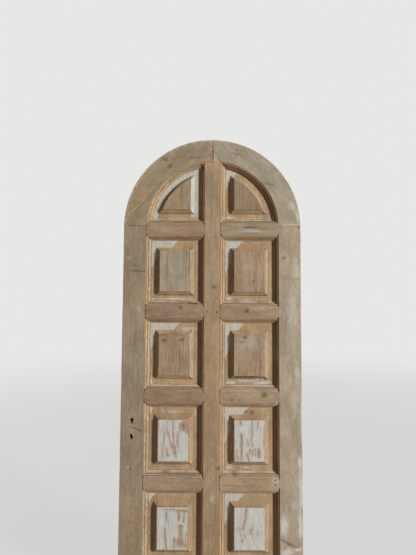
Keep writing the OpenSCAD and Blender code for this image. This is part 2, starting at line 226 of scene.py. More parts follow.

# Marks on the front, in millimetres on the leaf: x to the right, z up.
# Grooves, pressed in and darkened with grime and painted shade, the deeper the darker: start x, start z,
# end x, end z, half width, depth
# The short wide grooves where the arches meet the mullion are dark notches of painted shade in deep
# corners
GROOVES = {
    "left_arch": (
        (-420, 1915, -330, 2005, 2.0, 1.5), (-330, 2005, -244, 2108, 1.5, 1.0),
        (4, 2304, -2, 2275, 1.8, 1.3), (-2, 2275, -1, 2252, 2.8, 2.4), (-1, 2252, -13, 2236, 2.4, 2.0),
        (-13, 2236, -9, 2214, 2.2, 1.6), (-1, 2250, 0, 2206, 2.8, 2.6), (-36, 2195, -1, 2196, 2.8, 2.6),
        (-62, 2181, -50, 2167, 4.0, 3.5),
    ),
    "right_arch": ((7, 2257, 38, 2199, 1.4, 1.2), (56, 2181, 70, 2171, 4.0, 3.0)),
    "mullion": ((-38, 2190, 0, 2192, 1.8, 2.0), (-54, 2172, -47, 2156, 4.0, 3.5)),
    "right_stile": (
        (340, 326, 380, 300, 5.0, 1.0), (380, 300, 430, 284, 5.0, 1.0), (435, 1854, 437, 1853, 4.0, 4.0),
    ),
    "left_stile": (
        (-412, 856, -386, 850, 2.5, 1.2), (-386, 850, -354, 838, 4.0, 3.0),
        (-413, 940, -414, 926, 2.5, 1.4), (-376, 942, -375, 922, 2.5, 1.4),
        (-405, 656, -398, 652, 6.0, 2.0), (-446, 397, -380, 399, 1.5, 1.0),
        (-421, 1629, -380, 1631, 2.5, 1.2), (-380, 1631, -342, 1624, 3.0, 2.0),
    ),
    "right_rail_1": ((158, 1855, 227, 1854, 3.5, 2.2),),
    "left_rail_2": ((-122, 1470, -76, 1468, 6.0, 5.0),),
    "right_rail_4": ((311, 600, 312, 600, 3.5, 6.0), (313, 581, 314, 581, 3.5, 6.0)),
    "right_panel_1": ((213, 1700, 211, 1535, 1.6, 1.2),),
    "left_panel_2": ((-262, 1306, -205, 1318, 2.5, 1.5), (-205, 1318, -112, 1296, 2.5, 1.5)),
    "right_panel_2": ((112, 1098, 200, 1102, 4.5, 4.0), (200, 1102, 272, 1094, 3.5, 3.0)),
    "left_panel_4": ((-222, 440, -225, 380, 1.6, 1.2), (-225, 380, -222, 290, 1.8, 1.2)),
}
# Knots: x, z, radius
KNOTS = {
    "left_arch": ((-240, 2203, 11), (-219, 2171, 13)),
    "right_stile": ((364, 1699, 10),),
    "mullion": ((10, 1550, 13), (32, 658, 11)),
    "left_rail_2": ((-158, 1446, 11),),
    "right_rail_2": ((176, 1430, 13),),
    "right_rail_3": ((263, 1015, 18), (102, 990, 8)),
    "right_rail_4": ((117, 628, 14),),
    "right_panel_1": ((212, 1582, 8),),
    "left_panel_2": ((-240, 1282, 9), (-150, 1286, 9)),
    "right_panel_2": ((166, 1298, 10),),
    "left_panel_3": ((-215, 724, 8), (-160, 712, 7)),
    "right_panel_3": ((173, 930, 7), (203, 924, 8)),
}
# Grey smudges, and a painted soft shadow along the right stile's crack: x, z, half length, half height,
# turn in degrees
SMUDGES_AND_SHADOWS = {
    "left_arch": ((-250, 2212, 42, 16, 35), (-100, 2215, 60, 14, 10)),
    "right_arch": ((295, 2078, 48, 13, -18), (120, 2235, 40, 12, -20)),
    "left_stile": ((-380, 1629, 48, 11, 0), (-396, 1656, 30, 8, 0)),
    "left_panel_2": ((-240, 1280, 22, 12, 10), (-150, 1284, 34, 12, 10)),
    "right_panel_2": ((166, 1300, 26, 7, 0), (150, 1275, 30, 8, 0), (190, 1097, 82, 10, 0)),
    "left_panel_3": ((-136, 862, 22, 28, 0),),
    "right_panel_3": ((171, 929, 18, 13, 20), (203, 924, 18, 8, 0)),
    # Painted soft shadow along the crack at the foot of the right stile
    "right_stile": ((374, 306, 52, 14, -28),),
    "right_rail_1": ((192, 1858, 48, 7, 0),),
    "right_rail_3": ((263, 1015, 14, 24, -12),),
}
# White remnants on the framing: x, z, half width, half height, turn in degrees
REMNANTS = {
    "right_stile": (
        (446, 900, 6, 150, 0), (436, 690, 13, 40, 0), (441, 555, 14, 150, 0), (438, 390, 14, 90, 0),
        (356, 385, 24, 56, 0), (420, 278, 26, 16, 10), (372, 262, 40, 26, 0),
    ),
}
# White haze in the wood: x, z, half width, half height, turn in degrees, strength
HAZE = {
    "left_arch": ((-9, 2262, 5, 9, 0, 0.5), (-7, 2238, 5, 11, 0, 0.5)),
    "right_arch": (
        (408, 1965, 22, 60, 18, 0.55), (434, 1910, 16, 46, 8, 0.65), (395, 1870, 60, 8, 0, 0.4),
    ),
    "left_stile": (
        (-427, 1695, 18, 14, 0, 0.3), (-367, 1432, 18, 34, 0, 0.3), (-407, 661, 8, 10, 0, 0.8),
    ),
    "right_stile": (
        (424, 1640, 26, 100, 0, 0.45), (405, 1440, 44, 170, 0, 0.45), (448, 1427, 8, 70, 0, 0.5),
        (428, 1125, 24, 70, 4, 0.6), (410, 1000, 42, 130, 0, 0.25), (420, 500, 36, 180, 0, 0.30),
        (360, 410, 30, 90, 0, 0.35),
    ),
    "mullion": ((5, 518, 18, 44, 0, 0.35),),
    "left_rail_1": ((-236, 1839, 66, 18, 0, 0.22),),
    "right_rail_1": ((200, 1836, 110, 14, 0, 0.5),),
    "right_rail_2": ((230, 1443, 76, 18, 0, 0.18),),
    "right_rail_3": ((326, 972, 16, 20, 40, 0.5),),
    "right_rail_4": ((316, 596, 22, 30, 30, 0.45),),
    "left_panel_1": ((-190, 1492, 120, 11, 0, 0.4),),
    "left_panel_2": ((-120, 1340, 76, 20, 0, 0.55),),
    "left_panel_3": ((-190, 928, 100, 14, 0, 0.4), (-80, 920, 12, 22, 0, 0.5)),
    "right_panel_3": ((160, 658, 26, 8, 0, 0.5), (92, 672, 20, 22, 0, 0.4)),
    "right_panel_2": (
        (181, 1082, 96, 13, 0, 0.55), (235, 1090, 42, 8, 0, 0.5), (181, 1270, 110, 60, 0, 0.28),
    ),
}
# Paint left in the upper left corner of each panel: reach along the top, reach down the side
CORNER_PAINT = {
    "left_panel_1": (136, 146), "right_panel_1": (92, 172), "left_panel_2": (150, 140),
    "right_panel_2": (100, 180), "right_panel_3": (125, 182), "left_panel_4": (40, 46),
    "right_panel_4": (100, 150),
}
# Paint left elsewhere on the panel margins: x, z, half width, half height, turn in degrees
MARGIN_PAINT = {
    "left_panel_2": ((-304, 1070, 10, 24, 0),),
    "right_panel_1": ((82, 1492, 20, 10, 0),),
    "right_panel_2": ((92, 1070, 34, 12, 0), (255, 1070, 60, 12, 5)),
    "left_panel_1": ((-300, 1488, 12, 8, 0), (-180, 1488, 120, 5, 0)),
    "right_panel_3": ((86, 656, 26, 12, 0), (180, 655, 30, 5, 0)),
    "left_panel_3": ((-304, 940, 8, 30, 0),),
    "left_arch_panel": ((-300, 1913, 20, 26, 30),),
    "right_arch_panel": ((86, 1908, 32, 9, 0),),
}
# Bare streaks through the white fields: start x, start z, end x, end z, half width
BARE_STREAKS = {
    "left_panel_3": (
        (-231, 830, -240, 755, 3.0), (-240, 755, -242, 704, 3.0), (-221, 889, -221, 849, 2.0),
        (-221, 849, -214, 827, 2.5), (-214, 827, -203, 779, 3.5), (-191, 892, -190, 833, 3.5),
        (-190, 833, -185, 768, 4.0), (-164, 833, -168, 779, 5.0), (-168, 779, -165, 758, 5.0),
        (-220, 757, -216, 717, 3.5), (-198, 775, -194, 755, 6.0), (-185, 765, -180, 740, 8.0),
        (-153, 868, -155, 850, 7.0), (-138, 884, -139, 845, 9.0), (-122, 884, -120, 832, 8.0),
    ),
    "right_panel_3": (
        (142, 888, 144, 875, 5.0), (149, 824, 148, 743, 6.5), (148, 743, 147, 703, 6.0),
        (200, 886, 200, 824, 4.5), (200, 824, 197, 792, 4.0), (197, 792, 203, 765, 3.5),
        (227, 883, 229, 851, 3.5), (179, 797, 181, 770, 4.0), (177, 733, 183, 693, 4.5),
        (190, 748, 189, 728, 4.0), (203, 745, 203, 726, 4.5), (217, 750, 218, 722, 4.5),
        (234, 747, 234, 715, 7.5), (116, 715, 117, 695, 4.0), (132, 716, 131, 694, 5.0),
        (259, 865, 258, 771, 2.5), (127, 746, 124, 717, 4.0),
    ),
    "left_panel_4": (
        (-230, 462, -113, 459, 3.0), (-165, 456, -121, 454, 7.0), (-156, 455, -157, 415, 5.5),
        (-219, 447, -214, 407, 3.5), (-223, 368, -224, 337, 3.5), (-224, 337, -218, 277, 3.5),
        (-149, 376, -148, 337, 8.0), (-123, 345, -124, 288, 4.5), (-177, 324, -182, 285, 6.0),
        (-132, 442, -134, 403, 4.0),
    ),
    "right_panel_4": (
        (172, 464, 167, 417, 6.0), (167, 417, 158, 391, 6.0), (158, 391, 156, 373, 6.0),
        (194, 370, 194, 352, 6.0), (202, 389, 201, 326, 2.5), (141, 378, 143, 339, 3.0),
        (151, 321, 152, 310, 4.0), (228, 363, 228, 342, 3.5), (165, 342, 167, 326, 3.0),
    ),
}
# Bare spots in the white fields: x, z, half width, half height, turn in degrees
BARE_SPOTS = {
    "left_panel_3": (
        (-178, 731, 17, 13, 0), (-210, 717, 8, 6, 0), (-177, 714, 8, 7, 0), (-154, 736, 6, 5, 30),
    ),
    "right_panel_3": ((233, 881, 13, 6, 0), (119, 786, 5, 12, 0)),
    "left_panel_4": (
        (-148, 382, 22, 15, 0), (-152, 309, 30, 38, 0), (-230, 273, 7, 6, 0), (-215, 274, 5, 5, 0),
    ),
}
# Lit mouldings with pale flecks: the level of the noise at which a fleck begins
FLECKED = {"left_stile": 0.53, "mullion": 0.57, "left_arch": 0.53}


def linear(red, green, blue):
    """Scene-linear colour of an sRGB colour given as 0 to 255."""
    def channel(value):
        value /= 255.0
        return value / 12.92 if value <= 0.04045 else ((value + 0.055) / 1.055) ** 2.4
    return (channel(red), channel(green), channel(blue))


def scaled(colour, *factors):
    """Colour multiplied by one factor, or by one factor for each channel."""
    factors = factors * 3 if len(factors) == 1 else factors
    return tuple(value * factor for value, factor in zip(colour, factors))


def greyed(colour, share):
    """Colour drawn towards a grey of the same brightness."""
    grey = 0.30 * colour[0] + 0.59 * colour[1] + 0.11 * colour[2]
    return tuple(value + (grey - value) * share for value in colour)


class Value:
    """A shader socket that takes part in Python arithmetic."""

    def __init__(self, graph, socket):
        self.graph = graph
        self.socket = socket

    def math(self, operation, *others):
        return self.graph.math(operation, self, *others)

    def __add__(self, other):
        return self.math("ADD", other)

    __radd__ = __add__

    def __sub__(self, other):
        return self.math("SUBTRACT", other)

    def __rsub__(self, other):
        return self.graph.math("SUBTRACT", other, self)

    def __mul__(self, other):
        return self.math("MULTIPLY", other)

    __rmul__ = __mul__

    def __truediv__(self, other):
        return self.math("DIVIDE", other)

    def __or__(self, other):
        return self.math("MAXIMUM", other)

    def __and__(self, other):
        return self.math("MINIMUM", other)

    def __abs__(self):
        return self.math("ABSOLUTE")


def union(masks):
    """Greatest of several masks."""
    return reduce(or_, masks)


class Graph:
    """A tree of shader nodes."""

    def __init__(self, tree):
        self.tree = tree

    def feed(self, socket, value):
        """Link a value to a socket, or set the socket."""
        if isinstance(value, Value):
            self.tree.links.new(value.socket, socket)
        elif isinstance(value, tuple):
            socket.default_value = (*value, 1.0)
        else:
            socket.default_value = value

    def node(self, kind, settings=None, inputs=None, output=0):
        """A node of a kind, or one of its outputs."""
        node = self.tree.nodes.new(kind)
        for key, value in (settings or {}).items():
            setattr(node, key, value)
        for key, value in (inputs or {}).items():
            self.feed(node.inputs[key], value)
        return node if output is None else Value(self, node.outputs[output])

    def math(self, operation, *values):
        return self.node("ShaderNodeMath", {"operation": operation}, dict(enumerate(values)))

    def vector(self, x, y, z):
        return self.node("ShaderNodeCombineXYZ", {}, {"X": x, "Y": y, "Z": z})

    def noise(self, place, scale=1.0, detail=2.0, roughness=0.5):
        return self.node("ShaderNodeTexNoise", {}, {
            "Vector": place, "Scale": scale, "Detail": detail, "Roughness": roughness})

    def ramp(self, value, low, high):
        """Smooth step from 0 at low to 1 at high."""
        return self.node("ShaderNodeMapRange", {"interpolation_type": "SMOOTHSTEP"},
                         {"Value": value, "From Min": low, "From Max": high})

    def mix(self, share, first, second):
        return self.node("ShaderNodeMix", {"data_type": "RGBA"}, {0: share, 6: first, 7: second}, 2)

    def tint(self, share, colour, factor):
        """Colour multiplied by a factor, as far as the share goes."""
        return self.node("ShaderNodeMix", {"data_type": "RGBA", "blend_type": "MULTIPLY"},
                         {0: share, 6: colour, 7: factor}, 2)

    def attribute(self, name):
        return self.node("ShaderNodeAttribute", {"attribute_name": name}, output="Fac")

    def length(self, a, b):
        return (a * a + b * b).math("SQRT")

    def seen(self):
        """Share of rays that see the stage directly, in a reflection or through a clear piece."""
        path = self.node("ShaderNodeLightPath", output=None)
        return union(Value(self, path.outputs[f"Is {ray} Ray"]) for ray in SEEING_RAYS)

    def blend(self, share, first, second, output):
        """Blend two shaders and feed the output node of a name."""
        mixed = self.node("ShaderNodeMixShader", {}, {0: share, 1: first, 2: second})
        self.feed(self.tree.nodes[output].inputs["Surface"], mixed)


class Surface(Graph):
    """The nodes of one material, with the place on the leaf."""

    def __init__(self, name):
        self.material = bpy.data.materials.new(name)
        self.material.use_nodes = True
        super().__init__(self.material.node_tree)
        self.shader = self.tree.nodes["Principled BSDF"]
        self.place = self.node("ShaderNodeTexCoord", output="Object")
        split = self.node("ShaderNodeSeparateXYZ", {}, {"Vector": self.place}, None)
        self.x, self.y, self.z = (Value(self, socket) for socket in split.outputs)

    @cached_property
    def front(self):
        """Mask of the front half of the leaf."""
        return self.ramp(self.y, 0.0, -2 * MM)

    @cached_property
    def face(self):
        """Mask of what lies near the front face."""
        return self.ramp(self.y, FRONT + 9 * MM, FRONT + 2 * MM)

    def complete(self, colour, roughness, height, depth):
        """Feed the shader; height of 1 stands for depth in metres."""
        self.feed(self.shader.inputs["Base Color"], colour)
        self.feed(self.shader.inputs["Roughness"], roughness)
        self.shader.inputs["Specular IOR Level"].default_value = WOOD_SPECULAR
        bump = self.node("ShaderNodeBump", {}, {"Height": height, "Distance": depth})
        self.feed(self.shader.inputs["Normal"], bump)
        return self.material


# Marks

def blotch(g, mark, ragged=0.5, soft=0.35, fine=90.0, stretch=0.6):
    """Mask of a ragged oval spot on the front, its rough edge drawn out along z."""
    x, z, wide, high, turn = mark
    c, s = math.cos(math.radians(turn)), math.sin(math.radians(turn))
    dx = g.x - x * MM
    dz = g.z - z * MM
    u = (dx * c + dz * s) / (wide * MM)
    v = (dz * c - dx * s) / (high * MM)
    rough = g.noise(g.vector(g.x, x * 0.37, g.z * stretch), fine, 4.0, 0.65) - 0.5
    return g.ramp(g.length(u, v) + rough * (2.0 * ragged), 1.0, 1.0 - soft) * g.front


def line_gap(g, mark):
    """Distance from a line that runs from start to end."""
    x0, z0, x1, z1 = mark[:4]
    reach = math.hypot(x1 - x0, z1 - z0)
    ux, uz = (x1 - x0) / reach, (z1 - z0) / reach
    dx = g.x - x0 * MM
    dz = g.z - z0 * MM
    run = ((dx * ux + dz * uz) | 0.0) & (reach * MM)
    return g.length(dx - run * ux, dz - run * uz)


def groove_mask(g, mark):
    """Mask of a ragged line from start to end on the front."""
    half = mark[4]
    rough = (g.noise(g.place, 130.0, 2.0) - 0.5) * (half * 1.6 * MM)
    return g.ramp(line_gap(g, mark) + rough, half * 1.1 * MM, half * 0.35 * MM) * g.front


def bare_mask(g, piece):
    """Mask of the bare streaks, spots and fibres in a white field."""
    fray = g.noise(g.vector(g.x * 170.0, g.y, g.z * 26.0), 1.0, 5.0, 0.75) - 0.5
    fibre = g.noise(g.vector(g.x * 260.0, g.y, g.z * 10.0), 1.0, 4.0, 0.7)
    gaps = [(line_gap(g, mark), mark[4]) for mark in BARE_STREAKS[piece]]
    strokes = [g.ramp(gap + fray * (30 * MM), (half * 1.3 + 6.0) * MM, (half * 0.8 - 7.0) * MM)
               for gap, half in gaps]
    spots = [blotch(g, mark, ragged=0.9, soft=0.8, fine=110.0, stretch=0.15)
             for mark in BARE_SPOTS.get(piece, ())]
    beside = union(g.ramp(gap, (half + 24.0) * MM, half * MM) for gap, half in gaps)
    haze = beside * g.ramp(fibre, 0.46, 0.66) * 0.5
    return union(strokes + spots) | haze | (g.ramp(fibre, 0.55, 0.80) * 0.5)


def marked(g, piece, finish, colour):
    """Add white haze, grey smudges, a painted soft shadow, and the grime and painted shade in grooves to a
    colour.
    """
    for *mark, share in HAZE.get(piece, ()):
        haze = blotch(g, mark, ragged=1.0, soft=1.0, fine=60.0)
        colour = g.mix(haze * share, colour, finish.paint)
    for mark in SMUDGES_AND_SHADOWS.get(piece, ()):
        smudge_and_shadow = blotch(g, mark, ragged=1.0, soft=1.0, fine=110.0)
        colour = g.mix(smudge_and_shadow * 0.6, colour, finish.smudge_and_shadow)
    for mark in GROOVES.get(piece, ()):
        # Grooves darken with grime and with painted shade, more the deeper they are
        depth = mark[5]
        share = min(0.9, 0.25 + 0.12 * depth)
        colour = g.mix(groove_mask(g, mark) * share, colour, finish.dirt_and_shade)
    return colour


# Bare wood

def grain_axes(g, piece):
    """Position along and across the grain of a piece."""
    slope = math.sqrt(0.5)
    if piece == "left_arch":
        return (g.x + g.z) * slope, (g.z - g.x) * slope
    if piece == "right_arch":
        return (g.z - g.x) * slope, (g.z + g.x) * slope
    if "rail" in piece:
        return g.x, g.z
    return g.z, g.x


def wood(g, piece, tone, seed, figure=FRAME_FIGURE):
    """Colour and height of weathered softwood; figure is the strength of its growth rings."""
    along, across = grain_axes(g, piece)
    for x, z, radius in KNOTS.get(piece, ()):
        dx = g.x - x * MM
        dz = g.z - z * MM
        near = g.ramp(g.length(dx, dz), 4.0 * radius * MM, 0.6 * radius * MM)
        across = across - (dz if "rail" in piece else dx) * near * 0.45
    colour = scaled(tone, *WOOD_BASE)
    for layer in WOOD_LAYERS.values():
        place = g.vector(along * layer.along, across * layer.across, seed * layer.seed)
        cloud = g.noise(place, 1.0, layer.detail, layer.roughness)
        colour = g.tint(g.ramp(cloud, layer.low, layer.high) * layer.strength, colour, layer.tint)
    wander = g.noise(g.vector(along * 3.0, across * 7.0, seed), 1.0, 3.0) - 0.5
    lane = across + wander * (30 * MM)
    band = g.noise(g.vector(along * 3.0, lane * 110.0, seed * 0.7), 1.0, 4.0, 0.65)
    fibre = g.noise(g.vector(along * 16.0, lane * 240.0, g.y * 240.0 + seed * 2.3), 1.0, 4.0, 0.7)
    colour = g.tint(g.ramp(band, 0.50, 0.66) * figure, colour, RING_TINT)
    colour = g.tint(g.ramp(fibre, 0.52, 0.68), colour, PALE_FIBRE_TINT)
    colour = g.tint(g.ramp(fibre, 0.47, 0.32), colour, DARK_FIBRE_TINT)
    for x, z, radius in KNOTS.get(piece, ()):
        halo = blotch(g, (x, z, radius * 1.9, radius * 1.7, 0), soft=0.7)
        core = blotch(g, (x, z, radius, radius * 0.85, 0), soft=0.8)
        colour = g.tint(halo * 0.5, colour, KNOT_HALO_TINT)
        colour = g.tint(core * 0.7, colour, KNOT_CORE_TINT)
    return colour, band * 0.4 - fibre * 0.6


def end_grain_finish(finish):
    """Darker wood of pegs, wedges and the hidden tongue."""
    g = Surface("peg_wood")
    speck = g.noise(g.place, 900.0, 3.0, 0.7)
    ring = (g.noise(g.place, 160.0, 2.0) * 40.0).math("SINE") * 0.5 + 0.5
    dark = scaled(finish.peg, 0.55, 0.50, 0.45)
    colour = g.mix(g.ramp(speck, 0.35, 0.70), scaled(finish.peg, 1.15), dark)
    colour = g.mix(ring * 0.3, colour, scaled(finish.peg, 0.7, 0.62, 0.52))
    return g.complete(colour, 0.75 + speck * 0.15, speck + ring * 0.4, END_GRAIN_DEPTH)


# Framing

def moulded_tone(piece, finish):
    """Tone of a piece's moulding: golden on uprights and arch, near the face's own on the rails."""
    if "rail" in piece:
        return scaled(linear(*TONES[piece]), *RAIL_MOULDING_TINT)
    # Pieces whose mouldings face the key light get a slightly dimmed tone, which is painted shade
    if piece in FLECKED:
        return scaled(finish.moulding, *LIT_MOULDING_PAINTED_SHADE)
    return finish.moulding


def moulded_side(g, piece):
    """Mask that leaves out the outer edges of the leaf, which carry no moulding."""
    near, far = FACE_X + 6 * MM, FACE_X + 12 * MM
    if piece in STILES:
        return g.ramp(abs(g.x), far, near)
    if piece in ARCHES:
        return g.ramp(g.length(g.x, g.z - SPRING_Z), far, near)
    if piece == "bottom_rail":
        return g.ramp(g.z, 60 * MM, 80 * MM)
    return 1.0


def shaded_side(g, piece):
    """Mask of the mouldings that face left or down, away from the key light, for the painted shade and
    painted light on them.
    """
    if piece in ("right_stile", "right_arch"):
        return 1.0
    if piece == "mullion":
        return g.ramp(g.x, 30 * MM, -30 * MM)
    if piece in RAILS:
        low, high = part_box(piece)
        middle = (low.z + high.z) / 2
        return g.ramp(g.z, middle + 10 * MM, middle - 10 * MM)
    return 0.0


def golden_mouldings(g, piece, finish, seed, colour, moulded):
    """Lay the mouldings' wood over the face's, with painted shade in the sunk line and on left-facing
    mouldings, and painted light on the rails' lower mouldings.
    """
    golden, _ = wood(g, piece, moulded_tone(piece, finish), seed + 0.5)
    colour = g.mix(moulded, colour, golden)
    # Painted shade in the sunk crease of the moulding, weaker on the pieces whose mouldings face the key
    # light
    sunk = g.ramp(abs(g.y - SUNK_PLANE), 1.5 * MM, 0.6 * MM)
    colour = g.tint(sunk * moulded * (0.25 if piece in FLECKED else 0.7), colour, SUNK_PAINTED_SHADE)
    # Painted warm shade on left-facing mouldings, and painted light on the rails' downward-facing
    # mouldings
    shade = RAIL_UNDERSIDE_PAINTED_LIGHT if piece in RAILS else UPRIGHT_PAINTED_SHADE
    return g.tint(moulded * shaded_side(g, piece), colour, shade)


def flecks(g, piece, finish, colour, moulded):
    """Dim a lit moulding's ovolo with painted shade and speck it with pale paint, more densely on the
    bead, where the specks are also a painted highlight.
    """
    lit = moulded * g.ramp(g.x, 0.0, 30 * MM) if piece == "mullion" else moulded
    bead = g.ramp(g.y, SUNK_PLANE - 1 * MM, SUNK_PLANE + 1 * MM)
    colour = g.tint(lit * (1.0 - bead), colour, LIT_OVOLO_PAINTED_SHADE)
    dots = g.noise(g.vector(g.x * 200.0, g.y * 200.0, g.z * 55.0), 1.0, 4.0, 0.75)
    # Pale paint specks, weighted towards the bead as a painted highlight
    dots = g.ramp(dots, FLECKED[piece], FLECKED[piece] + 0.10) * (bead * 0.2 + 0.45)
    return g.mix(dots * lit, colour, finish.paint)


def quirk_dirt_and_shade(g, piece, finish, colour, grime):
    """Add the dark line in the quirk beside the face: partly grime, partly painted shade in the recess."""
    # Grime and painted shade in the quirk, weaker on the pieces whose mouldings face the key light
    quirk = g.ramp(abs(g.y - (FRONT + QUIRK)), 1.4 * MM, 0.4 * MM)
    grime_and_shade = g.ramp(grime, 0.35, 0.65) * 0.4 + 0.15
    return g.mix(quirk * grime_and_shade * (0.4 if piece in FLECKED else 1.0), colour, finish.dirt_and_shade)


def rail_marks(g, piece, finish, colour, grime, moulded):
    """Add the grime at a rail's ends and the paint left on its upper moulding."""
    ends = abs(abs(g.x) - FACE_X)
    if piece in RAILS:
        ends = ends & abs(abs(g.x) - MULLION_FACE)
    colour = g.mix(g.ramp(ends, 5.0 * MM, 0.8 * MM) * g.front * 0.45, colour, finish.dirt_and_shade)
    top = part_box(piece)[1].z
    ledge = g.ramp(top - g.z, 11 * MM, 3 * MM) * moulded * g.ramp(grime, 0.36, 0.58)
    return g.mix(ledge * 0.7, colour, finish.paint)


def plane_ripples(g, colour, grime):
    """Add the ripples that a plane left on the right stile."""
    ripple = (g.z * 480.0 + grime * 9.0).math("SINE") * 0.5 + 0.5
    planed = g.ramp(abs(g.z - PLANED_Z), 330 * MM, 180 * MM) * g.ramp(grime, 0.42, 0.60)
    return g.tint(ripple * planed * 0.7, colour, RIPPLE_TINT)


def springing_joint(g, piece, finish, colour, grime):
    """Add the grime in the joint between a stile and the arch."""
    joint = g.ramp(abs(g.z - SPRING_Z), 4.5 * MM, 1.0 * MM) * g.ramp(grime, 0.30, 0.55)
    return g.mix(joint * (0.45 if "left" in piece else 0.2), colour, finish.dirt_and_shade)


def limed_rim_and_highlight(g, finish, colour):
    """Add the pale, scuffed rim of the left arch segment: partly limed paint, partly a painted highlight
    along its outer edge.
    """
    reach = g.length(g.x, g.z - SPRING_Z)
    scuff = g.noise(g.place, 65.0, 5.0, 0.7)
    rim = g.ramp(reach + (scuff - 0.5) * (50 * MM), HALF_W - 18 * MM, HALF_W - 2 * MM)
    return g.mix(rim * g.face * g.ramp(scuff, 0.36, 0.62) * 0.5, colour, finish.paint)


def speckled_head(g, colour):
    """Lighten the mullion's pointed head with speckles."""
    speckle = g.noise(g.place, 330.0, 3.0, 0.7)
    head = g.ramp(g.z, HEAD_Z, HEAD_Z + 35 * MM)
    return g.tint(head * g.ramp(speckle, 0.44, 0.60), colour, HEAD_TINT)


def lock_hole_shade(g, finish, colour):
    """Darken the walls of both lock holes with painted shade."""
    upper, lower = (g.length(g.x - x, g.z - z) for x, z in LOCK_HOLES)
    walls = g.ramp(upper & lower, LOCK_REACH, LOCK_REACH - 3 * MM)
    walls = walls * g.ramp(g.y, FRONT + 0.6 * MM, FRONT + 2.5 * MM)
    return g.mix(walls, colour, scaled(finish.dirt_and_shade, 0.35))


def own_marks(g, piece, finish, colour, grime, moulded):
    """Add what only some of the framing pieces show."""
    if "rail" in piece:
        colour = rail_marks(g, piece, finish, colour, grime, moulded)
    if piece == "right_stile":
        colour = plane_ripples(g, colour, grime)
    if piece in STILES + ARCHES:
        colour = springing_joint(g, piece, finish, colour, grime)
    if piece == "left_arch":
        colour = limed_rim_and_highlight(g, finish, colour)
    if piece == "mullion":
        colour = speckled_head(g, colour)
    if piece == "left_stile":
        colour = lock_hole_shade(g, finish, colour)
    if piece in REMNANTS:
        white = union(blotch(g, mark, ragged=0.9, soft=0.7, fine=45.0) for mark in REMNANTS[piece])
        colour = g.mix(white * g.face * 0.9, colour, finish.paint)
    return colour


def frame_finish(piece, finish, seed):
    """Stripped wood of a framing piece, golden on its mouldings."""
    g = Surface(f"{piece}_wood")
    tone = linear(*TONES[piece])
    grime = g.noise(g.place, 14.0, 4.0, 0.6)
    colour, height = wood(g, piece, tone, seed, ARCH_FIGURE if piece in ARCHES else FRAME_FIGURE)
    moulded = g.ramp(g.y, MOULDED_PLANE, MOULDED_PLANE + 1.5 * MM) * g.ramp(g.y, 0.0, -3 * MM)
    moulded = moulded * moulded_side(g, piece)
    colour = golden_mouldings(g, piece, finish, seed, colour, moulded)
    if piece in FLECKED:
        colour = flecks(g, piece, finish, colour, moulded)
    colour = quirk_dirt_and_shade(g, piece, finish, colour, grime)
    colour = own_marks(g, piece, finish, colour, grime, moulded)
    colour = marked(g, piece, finish, colour)
    # Paler worn arrises: partly real wear, partly a painted highlight where the edges catch the light
    worn = g.attribute(ARRIS) * g.ramp(grime, 0.30, 0.55)
    colour = g.mix(worn * 0.7, colour, greyed(scaled(tone, 1.6), 0.25))
    return g.complete(colour, 0.74 + height * 0.12, height + worn * 0.3, GRAIN_DEPTH)


# Panels

class Sight(NamedTuple):
    """Edges of the opening that shows a panel."""
    left: float
    right: float
    bottom: float
    top: float


def sight(piece):
    """The opening that shows a panel, whose tongues are hidden in the frame."""
    low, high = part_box(piece)
    return Sight(low.x + TONGUE, high.x - TONGUE, low.z + TONGUE, high.z - TONGUE)


def field_inset(g, shown):
    """Distance inside the edge of a rectangular field."""
    beside = (g.x - shown.left) & (shown.right - g.x)
    over = (shown.top - g.z - MARGIN_TOP) & (g.z - shown.bottom - MARGIN_BOTTOM)
    return (beside - MARGIN_SIDE - BEVEL_W) & (over - BEVEL_W)


def edge_distance(g, piece, shown):
    """Distance from the nearest edge of the opening that shows the panel."""
    if piece in ARCH_PANELS:
        arc = SIGHT_X - g.length(g.x, g.z - SPRING_Z)
        return arc & (g.z - shown.bottom) & (abs(g.x) - MULLION_SIGHT)
    return (g.x - shown.left) & (shown.right - g.x) & (shown.top - g.z) & (g.z - shown.bottom)


def lit_bevel(g, piece, shown):
    """Mask of the bevel on the right, or along the arc of the right quarter-round panel."""
    if piece == "right_arch_panel":
        edge = SIGHT_X - MARGIN_ARCH - BEVEL_W
        return g.ramp(g.length(g.x, g.z - SPRING_Z), edge - 1 * MM, edge + 1 * MM)
    edge = shown.right - MARGIN_SIDE - BEVEL_W
    return g.ramp(g.x, edge - 1 * MM, edge + 1 * MM)


def corner_paint(g, piece, shown):
    """Mask of the L-shaped paint in a panel's upper left corner."""
    reach, drop = (value * MM for value in CORNER_PAINT[piece])
    aside = g.x - shown.left
    down = shown.top - g.z
    rough = (g.noise(g.place, 55.0, 4.0, 0.65) - 0.5) * (9 * MM)
    arm = g.ramp(aside + down * 0.82 + rough, reach, reach - 2 * MM)
    arm = arm * g.ramp(down, MARGIN_TOP + 1 * MM, MARGIN_TOP)
    leg = g.ramp(down + aside * 2.0 + rough * 1.6, drop, drop - 3 * MM)
    leg = leg * g.ramp(aside, MARGIN_SIDE + 5 * MM, MARGIN_SIDE + 3 * MM)
    return arm | leg


